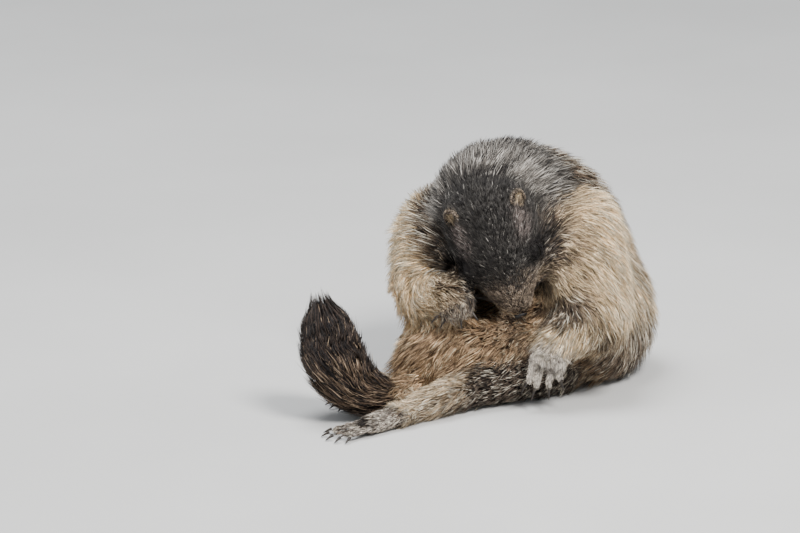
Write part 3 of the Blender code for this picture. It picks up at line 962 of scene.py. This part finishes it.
def make_tufts(name, lines, sides, tops, half_widths, colours, root_uvs):
    """One mesh of tufts from their middle lines, in millimetres: tuft, station, axis."""
    count, stations, _ = lines.shape
    rings = stations - 2
    size = 2 + 3 * rings
    verts = np.empty((count, size, 3))
    paint = np.full((count, size, 4), 0.5, np.float32)
    patch = np.zeros((size, 2))
    for end in (0, -1):
        verts[:, end] = lines[:, end]
        paint[:, end, :3] = colours[:, end]
    patch[0] = (0, -UV_HALF)
    patch[-1] = (0, UV_HALF)
    for ring in range(rings):
        first = 1 + 3 * ring
        middle = lines[:, ring + 1]
        wide = sides * half_widths[:, ring, None]
        verts[:, first] = middle - wide
        verts[:, first + 1] = middle + wide
        verts[:, first + 2] = middle + tops * half_widths[:, ring, None] * RIDGE
        level = UV_HALF * ((ring + 1) / (rings + 1) * 2 - 1)
        patch[first : first + 3] = ((-UV_HALF, level), (UV_HALF, level), (0, level * 0.8))
        paint[:, first : first + 3, :3] = colours[:, ring + 1, None]
        paint[:, first : first + 3, 3] = ACROSS
    faces = tuft_faces(rings)
    corners = (np.arange(count)[:, None, None] * size + faces[None]).reshape(-1)
    mesh = bpy.data.meshes.new(name)
    mesh.vertices.add(count * size)
    mesh.loops.add(len(corners))
    mesh.polygons.add(len(corners) // 3)
    mesh.vertices.foreach_set("co", to_frame(verts.reshape(-1, 3)).astype(np.float32).ravel())
    mesh.loops.foreach_set("vertex_index", corners.astype(np.int32))
    mesh.polygons.foreach_set("loop_start", np.arange(0, len(corners), 3, dtype=np.int32))
    mesh.update(calc_edges=True)
    mesh.shade_smooth()
    mesh.attributes.new("coat", "FLOAT_COLOR", "POINT").data.foreach_set("color", paint.ravel())
    uvs = (root_uvs[:, None, :] + patch[faces.reshape(-1)][None]).astype(np.float32)
    mesh.uv_layers.new(name="OFBake").uv.foreach_set("vector", uvs.ravel())
    return add_object(name, mesh)


class Hide:
    """The finished skin, with all that its tufts read."""

    def __init__(self, obj, web, points, normals, shares, flows):
        mesh = obj.data
        mesh.calc_loop_triangles()
        self.triangles = read(mesh.loop_triangles, "vertices", 3)
        uvs = np.zeros((len(mesh.loops), 2), np.float32)
        if mesh.uv_layers:
            uvs = read(mesh.uv_layers["OFBake"].uv, "vector", 2, np.float32)
        self.corner_uvs = uvs[read(mesh.loop_triangles, "loops", 3)]
        self.web = web
        self.points = points
        self.normals = normals
        self.shares = shares
        self.flows = flows
        one, two, three = points[self.triangles].transpose(1, 0, 2)
        self.areas = np.linalg.norm(np.cross(two - one, three - one), axis=1) / 2
        self.tree = BVHTree.FromPolygons([tuple(point) for point in points], self.triangles.tolist())

    def scatter(self, density):
        """Random roots, with that many to a square millimetre at each vertex."""
        chance = self.areas * density[self.triangles].mean(axis=1)
        total = int(chance.sum())
        rows = np.searchsorted(np.cumsum(chance), rng.random(total) * chance.sum())
        rows = np.minimum(rows, len(chance) - 1)
        first = rng.random((total, 1))
        second = rng.random((total, 1))
        over = first + second > 1
        first = np.where(over, 1 - first, first)
        second = np.where(over, 1 - second, second)
        weights = np.concatenate([1 - first - second, first, second], axis=1)
        return rows, weights

    def at(self, rows, weights, values):
        return np.einsum("nc,ncd->nd", weights, values[self.triangles[rows]])

    def uv_at(self, rows, weights):
        return np.einsum("nc,ncd->nd", weights, self.corner_uvs[rows])

    def laid(self, points, heights, hug):
        """Points moved to their height over the nearest skin, by the share hug."""
        result = points.copy()
        for row, point in enumerate(points):
            spot, normal, _, _ = self.tree.find_nearest(point)
            result[row] = [place + way * heights[row] for place, way in zip(spot, normal)]
        return points + (result - points) * hug


def clumps_of(roots, size):
    """The nearest of a few leading tufts to each, as rows of the roots."""
    leaders = rng.choice(len(roots), max(len(roots) // size, 1), replace=False)
    tree = KDTree(len(leaders))
    for row, leader in enumerate(leaders):
        tree.insert(roots[leader], row)
    tree.balance()
    return leaders[np.array([tree.find(root)[1] for root in roots])]


# Coat pieces: name, material slot, and the nodes whose roots they take.
COATS = {
    "coat_head": ("coat_grey", ("head",)),
    "coat_neck": ("coat_grey", ("neck",)),
    "coat_torso": ("coat_rust", ("torso",)),
    "coat_arm_left": ("coat_cream", ("upper_arm_left",)),
    "coat_arm_right": ("coat_cream", ("upper_arm_right",)),
    "coat_forearms": ("coat_grizzled", both("forearm")),
    "coat_thighs": ("coat_grizzled", both("thigh")),
    "coat_shanks": ("coat_grizzled", (*both("shank"), "tail_root")),
    "coat_paws": ("coat_pale", tuple(PAWS)),
    "coat_ears": ("coat_cream", EARS),
}
MOST_TRIANGLES = 190000
THIN = 1

# Two layers: the close coat, and longer, thinner guard hairs over it. Shares of the node's own sizes,
# with the share of the tufts, how far they hug the skin, the tufts to a clump and its pull on the tips.
LAYERS = (
    dict(share=0.68, length=0.85, rise=0.95, width=1.15, hug=0.65, clump=12, pull=0.45, rings=1),
    dict(share=0.26, length=1.2, rise=1.42, width=0.7, hug=0.4, clump=8, pull=0.5, rings=2),
)
ROOT_SINK = 0.6
CLUMPS_TO_LOCK = 9


def grow_coat(hide, material):
    sizes = np.stack(coat_sizes(hide.points, hide.shares), axis=1)
    amounts = hide.web.even(marking_shares(hide.points, hide.normals, hide.shares), 12)
    for number, layer in enumerate(LAYERS, 1):
        grow_layer(hide, material, sizes, amounts, layer, number)


def bent_lines(hide, layer, roots, ways, normals, reach, rise, clump):
    """The middle line of each tuft: it rises, lies down along the skin, and leans to its clump's leader."""
    level = np.sqrt(reach**2 - rise**2)
    parts = tuft_parts(layer)
    stations = [roots - normals * ROOT_SINK]
    for part in parts:
        height = rise * (1.5 * part - 0.5 * part * part)
        spot = roots + ways * (level * part)[:, None] + normals * height[:, None]
        stations.append(hide.laid(spot, height, layer["hug"]))
    target = stations[-1][clump]
    for ring, part in enumerate(parts, 1):
        stations[ring] = stations[ring] + (target - stations[-1]) * layer["pull"] * part * part
    lines = np.stack(stations, axis=1)
    lines[:, :, 2] = np.maximum(lines[:, :, 2], 0.1)
    return lines


def tuft_parts(layer):
    """Where along a tuft its rings and its tip lie."""
    rings = layer["rings"]
    return [ring / (rings + 1) for ring in range(1, rings + 2)]


def tuft_colours(amounts, clump, lock, parts):
    """The colours along each tuft: its root, its rings and its tip."""
    count, kinds = amounts.shape
    noise = rng.normal(0, 0.5, (count, kinds)) + rng.normal(0, 0.7, (count, kinds))[lock]
    tones = rng.uniform(0.65, 1.3, count) * rng.uniform(0.6, 1.35, count)[clump]
    tones = tones * rng.uniform(0.85, 1.15, count)[lock]
    draws = (rng.random(count) + rng.random(count)[clump] * 0.5) / 1.5
    root, shaft, tip = pelt_colours(stirred(amounts, noise), draws, tones)
    rings = [shaft + (tip - shaft) * max(0.0, 2 * part - 1) for part in parts[:-1]]
    return np.stack([root, *rings, tip], axis=1)


def grow_layer(hide, material, sizes, amounts, layer, layer_number):
    rows, weights = hide.scatter(sizes[:, 3] * layer["share"] * THIN)
    count = len(rows)
    roots = hide.at(rows, weights, hide.points)
    normals = unit(hide.at(rows, weights, hide.normals))
    flows = hide.at(rows, weights, hide.flows)
    length, depth, width, _ = hide.at(rows, weights, sizes).T
    clump = clumps_of(roots, layer["clump"])
    lock = clumps_of(roots, layer["clump"] * CLUMPS_TO_LOCK)
    turn = rng.normal(0, 0.16, count) + rng.normal(0, 0.16, count)[lock]
    ways = unit(flows + unit(np.cross(flows, normals)) * turn[:, None])
    reach = length * layer["length"] * rng.uniform(0.75, 1.25, count)
    rise = (depth + 0.6) * layer["rise"] * rng.uniform(0.65, 1.2, count) * rng.uniform(0.8, 1.2, count)[clump]
    lines = bent_lines(hide, layer, roots, ways, normals, reach, np.minimum(rise, reach * 0.75), clump)
    sides, tops = turned(lines, normals)
    wide = width * 0.5 * layer["width"] * rng.uniform(0.7, 1.3, count) / math.sqrt(THIN)
    half_widths = np.stack([wide * (1 - 0.3 * ring) for ring in range(layer["rings"])], axis=1)
    colours = tuft_colours(hide.at(rows, weights, amounts), clump, lock, tuft_parts(layer))
    uvs = hide.uv_at(rows, weights)
    owner = np.argmax(hide.at(rows, weights, hide.shares), axis=1)
    triangles = len(tuft_faces(layer["rings"]))
    for name, (slot, nodes) in COATS.items():
        chosen = np.flatnonzero(np.isin(owner, [NODES.index(node) for node in nodes]))
        pieces = max(1, math.ceil(len(chosen) * triangles / MOST_TRIANGLES))
        order = np.argsort(roots[chosen, 0], kind="stable")
        for number, pick in enumerate(np.array_split(chosen[order], pieces), 1):
            tufts = (values[pick] for values in (lines, sides, tops, half_widths, colours, uvs))
            obj = make_tufts(f"{name}_{layer_number}_{number}", *tufts)
            finish_piece(obj, [], material)


TAIL_HAIRS = 7500
TAIL_HAIR_REACH = 0.38
TAIL_HAIR_WIDTH = 0.48
TAIL_CLUMP = 14
# Where along a tail hair its stations lie, and how far out, as shares of the brush's reach.
TAIL_STATIONS = ((0, TAIL_CORE * 0.85), (0.3, 0.66), (0.65, 0.95), (1.0, 1.08))


def grow_tail(hide, material):
    """Long hair that sweeps along the brush and out, with ragged tips."""
    count = int(TAIL_HAIRS * THIN)
    start = rng.random(count) ** 0.95
    turn = rng.random(count) * math.tau
    reach = TAIL_HAIR_REACH * rng.uniform(0.55, 1.2, count)
    bend = rng.normal(0, 0.22, count)
    lift = rng.uniform(0.8, 1.08, count) + 0.25 * rng.random(count) * (rng.random(count) < 0.22)
    heading_path = unit(np.gradient(along_line(TAIL_LINE, np.linspace(0, 1, 60)), axis=0))
    lines = []
    outs = []
    for part, height in TAIL_STATIONS:
        share = start + reach * part
        inside = np.clip(share, 0, 1)
        heading = heading_path[np.minimum((inside * 59).astype(int), 59)]
        past = np.maximum(share - 1, 0)
        centre = along_line(TAIL_LINE, inside) + heading * (past * 85)[:, None]
        radius = along_line(TAIL_REACH, inside) * np.maximum(0.3, 1 - (past * 4) ** 2 * 0.5)
        across = unit(np.cross(heading, UP))
        over = np.cross(across, heading)
        swing = turn + bend * part
        out = across * np.cos(swing)[:, None] + over * np.sin(swing)[:, None]
        spread = height * (1 + (lift - 1) * part)
        lines.append(centre + out * (radius * spread)[:, None])
        outs.append(out)
    lines = np.stack(lines, axis=1)
    clump = clumps_of(lines[:, 1], TAIL_CLUMP)
    pull = (lines[clump, 3] - lines[:, 3]) * 0.5
    lines[:, 2] += pull * 0.4
    lines[:, 3] += pull
    lines[:, :, 2] = np.maximum(lines[:, :, 2], 0.3)
    sides, tops = turned(lines, outs[1])
    wide = TAIL_HAIR_WIDTH * rng.uniform(0.7, 1.3, count) / math.sqrt(THIN)
    half_widths = np.stack([wide, wide * 0.8], axis=1)
    rows = np.array([hide.tree.find_nearest(point)[2] for point in lines[:, 0]])
    uvs = hide.corner_uvs[rows].mean(axis=1)
    facing = outs[1] @ unit(np.array((-0.25, -0.9, 0.1)))
    rufous = smooth_step(facing, -0.1, 0.75) * fade(start + reach * 0.5, 0.5, 0.85) * 0.8
    amounts = np.zeros((count, len(PELT_NAMES)))
    amounts[:, PELT_NAMES.index("rufous")] = rufous
    amounts[:, PELT_NAMES.index("brush")] = 1 - rufous
    noise = rng.normal(0, 0.8, amounts.shape) + rng.normal(0, 0.9, amounts.shape)[clump]
    tones = rng.uniform(0.7, 1.3, count) * rng.uniform(0.6, 1.3, count)[clump]
    root, shaft, tip = pelt_colours(stirred(amounts, noise), rng.random(count), tones)
    colours = np.stack([root, shaft, shaft * 0.5 + tip * 0.5, tip], axis=1)
    obj = make_tufts("coat_tail", lines, sides, tops, half_widths, colours, uvs)
    finish_piece(obj, ["tail_brush"], material)


# Materials


def feed(tree, node, inputs):
    """Each input of a node set to a value, or fed from another node's output."""
    for key, value in inputs.items():
        if isinstance(value, bpy.types.NodeSocket):
            tree.links.new(value, node.inputs[key])
        else:
            node.inputs[key].default_value = value


def add_node(tree, kind, inputs, **settings):
    node = tree.nodes.new(f"ShaderNode{kind}")
    for key, value in settings.items():
        setattr(node, key, value)
    feed(tree, node, inputs)
    return node


def new_material(name, scale, detail):
    """A material with the noise that mottles it, over the object's own coordinates."""
    material = bpy.data.materials.new(name)
    material.use_nodes = True
    tree = material.node_tree
    place = add_node(tree, "TexCoord", {}).outputs["Object"]
    noise = add_node(tree, "TexNoise", {"Vector": place, "Scale": scale, "Detail": detail})
    return material, tree, tree.nodes["Principled BSDF"], noise.outputs["Fac"]


STRANDS = 3
STRAND_WANDER = 9
HAIR_SCALE = 260
HAIR_SHINE = 0.2


def coat_material(name, roughness, strength, strands):
    """Hair: the painted colour, mottled, and with a few strands to each tuft."""
    material, tree, shader, noise = new_material(name, HAIR_SCALE, 3)
    paint = add_node(tree, "Attribute", {}, attribute_name="coat").outputs
    levels = {"From Min": 0.3, "From Max": 0.7, "To Min": 1 - strength, "To Max": 1 + strength}
    mottle = add_node(tree, "MapRange", {"Value": noise, **levels}).outputs["Result"]

    def reckon(operation, *values):
        return add_node(tree, "Math", dict(enumerate(values)), operation=operation).outputs["Value"]

    wander = reckon("MULTIPLY", noise, STRAND_WANDER)
    wave = reckon("SINE", reckon("MULTIPLY_ADD", paint["Alpha"], STRANDS * math.tau, wander))
    tone = reckon("MULTIPLY_ADD", wave, strands, mottle)
    tint = add_node(tree, "VectorMath", {0: paint["Color"], "Scale": tone}, operation="SCALE")
    finish = {"Roughness": roughness, "Specular IOR Level": HAIR_SHINE}
    feed(tree, shader, {"Base Color": tint.outputs["Vector"], **finish})
    return material


MOTTLE_ENDS = (0.35, 0.7)
GRAIN_DEPTH = 0.0004


def plain_material(name, dark, light, scale, roughness, bump, shine=0.5):
    """A surface mottled between two colours, with a fine grain."""
    material, tree, shader, noise = new_material(name, scale, 5)
    ramp = add_node(tree, "ValToRGB", {"Fac": noise})
    for element, place, colour in zip(ramp.color_ramp.elements, MOTTLE_ENDS, (dark, light)):
        element.position = place
        element.color = (*colour, 1)
    finish = {"Roughness": roughness, "Specular IOR Level": shine}
    feed(tree, shader, {"Base Color": ramp.outputs["Color"], **finish})
    if bump:
        grain = add_node(tree, "Bump", {"Height": noise, "Strength": bump, "Distance": GRAIN_DEPTH})
        feed(tree, shader, {"Normal": grain.outputs["Normal"]})
    return material


# Eyes, nose and claws

BULGE = 0.5
BULGE_START = 0.7


def make_eyes(material):
    """Eyeballs with a low bulge where they look out."""
    for name, side in SIDES:
        centre, look, _, _ = eye_frame(side)
        shape = bmesh.new()
        bmesh.ops.create_icosphere(shape, subdivisions=4, radius=EYE_RADIUS)
        for vert in shape.verts:
            front = max(0.0, vert.co.normalized().dot(Vector(look)))
            vert.co += Vector(look) * BULGE * max(0.0, (front - BULGE_START) / 0.3) ** 2
            vert.co = Vector(to_frame(centre + np.array(vert.co)))
        finish_piece(object_from(f"eyeball_{name}", shape), [f"eye_{name}"], material)


LID_INNER = EYE_RADIUS + 0.3
LID_THICKNESS = 0.7
LID_REACH = 0.5
LID_COLUMNS = 25
LID_ROWS = 6
SLIT_SWING = math.radians(72)
SLIT_HALF = {1: 0.15, -1: 0.11}


def lid_line(side, half, column):
    """One line of points up a lid, from the slit's edge, in the frame."""
    centre, look, slit, rise = eye_frame(side)
    swing = SLIT_SWING * (column / (LID_COLUMNS - 1) * 2 - 1)
    edge = SLIT_HALF[half] * math.cos(swing / SLIT_SWING * math.pi / 2)
    line = []
    for row in range(LID_ROWS):
        lift = edge + (LID_REACH - edge) * row / (LID_ROWS - 1)
        flat = math.sqrt(1 - lift * lift)
        way = look * math.cos(swing) * flat + slit * math.sin(swing) * flat + rise * half * lift
        line.append(to_frame(centre + way * LID_INNER))
    return line


def make_lids(material):
    """Two lids to an eye, shells over the eyeball with a narrow slit between them."""
    for name, side in SIDES:
        shape = bmesh.new()
        for half in SLIT_HALF:
            columns = (lid_line(side, half, column) for column in range(LID_COLUMNS))
            lid = [[shape.verts.new(spot) for spot in column] for column in columns]
            for near, far in zip(lid, lid[1:]):
                for row in range(LID_ROWS - 1):
                    corners = [near[row], far[row], far[row + 1], near[row + 1]]
                    shape.faces.new(corners if half > 0 else corners[::-1])
        bmesh.ops.recalc_face_normals(shape, faces=shape.faces)
        obj = object_from(f"lids_{name}", shape)
        modify(obj, "SOLIDIFY", thickness=LID_THICKNESS * MM, offset=1)
        bake(obj)
        finish_piece(obj, [], material)


def make_nose(material):
    obj = object_from("nose_pad", merged_copy("nose"))
    modify(obj, "REMESH", mode="VOXEL", voxel_size=0.5 * MM)
    modify(obj, "SMOOTH", factor=0.5, iterations=4)
    bake(obj)
    finish_piece(obj, ["nose"], material)


def make_claws(material):
    for node in sorted(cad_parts):
        if node.startswith("claw"):
            obj = object_from(node.replace("claw", "nail", 1), merged_copy(node))
            modify(obj, "SUBSURF", levels=2, render_levels=2)
            bake(obj)
            finish_piece(obj, [node], material)


# Whiskers to a side, in rows of three on the muzzle.
WHISKERS = 9
WHISKER_PARTS = (-0.03, 0.15, 0.45, 0.75, 1.0)
WHISKER_HALF_WIDTHS = (0.22, 0.18, 0.12)


def make_whiskers(hide, material):
    lines = []
    sides = []
    tops = []
    for _, side in SIDES:
        for number in range(WHISKERS):
            row, place = divmod(number, 3)
            root, _, _, _ = hide.tree.find_nearest(on_head(76 + 3.2 * place, side * 13.5, -9 + 4.2 * row))
            root = np.array(root)
            back = HEAD_ALONG * (0.5 + 0.1 * place)
            way = unit(HEAD_LEFT * side * 0.9 - back + HEAD_OUT * (0.1 * (row - 1)))
            reach = rng.uniform(20, 32)
            droop = -UP * reach * 0.12
            lines.append([root + way * reach * part + droop * part**2 for part in WHISKER_PARTS])
            across = unit(np.cross(way, UP))
            sides.append(across)
            tops.append(np.cross(across, way))
    count = len(lines)
    half_widths = np.tile(WHISKER_HALF_WIDTHS, (count, 1))
    colours = np.tile(CHARCOAL, (count, len(WHISKER_PARTS), 1))
    uvs = np.full((count, 2), 0.5)
    shapes = (np.array(values) for values in (lines, sides, tops))
    obj = make_tufts("whiskers", *shapes, half_widths, colours, uvs)
    finish_piece(obj, [], material)


# Studio

CAMERA_TARGET = np.array((-64.0, 40.0, 103.7))
CAMERA_AWAY = 4.0
PICTURE_WIDTH = 0.640
SENSOR_WIDTH = 36
LIT_PLACE = Vector((0, 0, 0.08))


def make_camera():
    data = bpy.data.cameras.new("camera")
    data.sensor_width = SENSOR_WIDTH
    data.lens = SENSOR_WIDTH * CAMERA_AWAY / PICTURE_WIDTH
    data.clip_start = 0.1
    data.clip_end = 100
    camera = add_object("camera", data)
    back = Vector((0, -math.cos(CAMERA_HEIGHT), math.sin(CAMERA_HEIGHT)))
    camera.location = Vector(to_frame(CAMERA_TARGET)) + back * CAMERA_AWAY
    camera.rotation_euler = back.to_track_quat("Z", "Y").to_euler()
    bpy.context.scene.camera = camera


def add_area(name, place, size, power, colour):
    data = bpy.data.lights.new(name, "AREA")
    data.shape = "DISK"
    data.size = size
    data.energy = power
    data.color = colour
    light = add_object(name, data)
    light.location = place
    light.rotation_euler = (Vector(place) - LIT_PLACE).to_track_quat("Z", "Y").to_euler()


def make_studio():
    shape = bmesh.new()
    bmesh.ops.create_grid(shape, x_segments=1, y_segments=1, size=12)
    floor = object_from("floor", shape)
    paper = plain_material("floor_paper", (0.5, 0.495, 0.485), (0.55, 0.545, 0.535), 3, 0.85, 0)
    floor.data.materials.append(paper)
    world = bpy.data.worlds.new("studio")
    bpy.context.scene.world = world
    world.use_nodes = True
    backdrop = world.node_tree.nodes["Background"]
    backdrop.inputs["Color"].default_value = (0.91, 0.955, 1.0, 1)
    backdrop.inputs["Strength"].default_value = 0.66
    add_area("key", (0.75, -1.1, 1.8), 0.7, 78, (1.0, 0.985, 0.96))
    add_area("top", (-0.4, 0.1, 2.2), 1.2, 54, (0.96, 0.98, 1.0))


def paint_skin(obj, hide):
    """The skin in the colours of the hair's roots, with some of its shafts."""
    amounts = marking_shares(hide.points, hide.normals, hide.shares)
    plain = np.full(len(hide.points), 0.5)
    root, shaft, _ = pelt_colours(hide.web.even(amounts, 12), plain, plain * 2)
    paint = np.ones((len(hide.points), 4), np.float32)
    # The markings' painted shade, beside the muzzle, between the digits and round the eyes, darkens the skin
    # there too.
    paint[:, :3] = root * 0.7 + shaft * 0.3
    obj.data.attributes.new("coat", "FLOAT_COLOR", "POINT").data.foreach_set("color", paint.ravel())


def build():
    make_camera()
    make_studio()
    hair = coat_material("marmot_hair", 0.55, 0.2, 0.3)
    bare = coat_material("marmot_skin", 0.8, 0.3, 0)
    obj, *surface = make_skin()
    unwrap(obj)
    hide = Hide(obj, *surface)
    paint_skin(obj, hide)
    finish_piece(obj, NODES, bare)
    grow_coat(hide, hair)
    grow_tail(hide, hair)
    make_eyes(plain_material("eye_gloss", (0.006, 0.004, 0.003), (0.02, 0.012, 0.008), 500, 0.06, 0))
    make_lids(plain_material("lid_skin", (0.004, 0.004, 0.004), (0.009, 0.008, 0.007), 900, 0.9, 0.4, 0.1))
    pad = plain_material("nose_leather", (0.008, 0.007, 0.007), (0.022, 0.019, 0.018), 1400, 0.42, 0.8, 0.35)
    make_nose(pad)
    make_claws(plain_material("claw_horn", (0.012, 0.01, 0.009), (0.045, 0.035, 0.027), 300, 0.5, 0.3, 0.3))
    make_whiskers(hide, hair)


build()
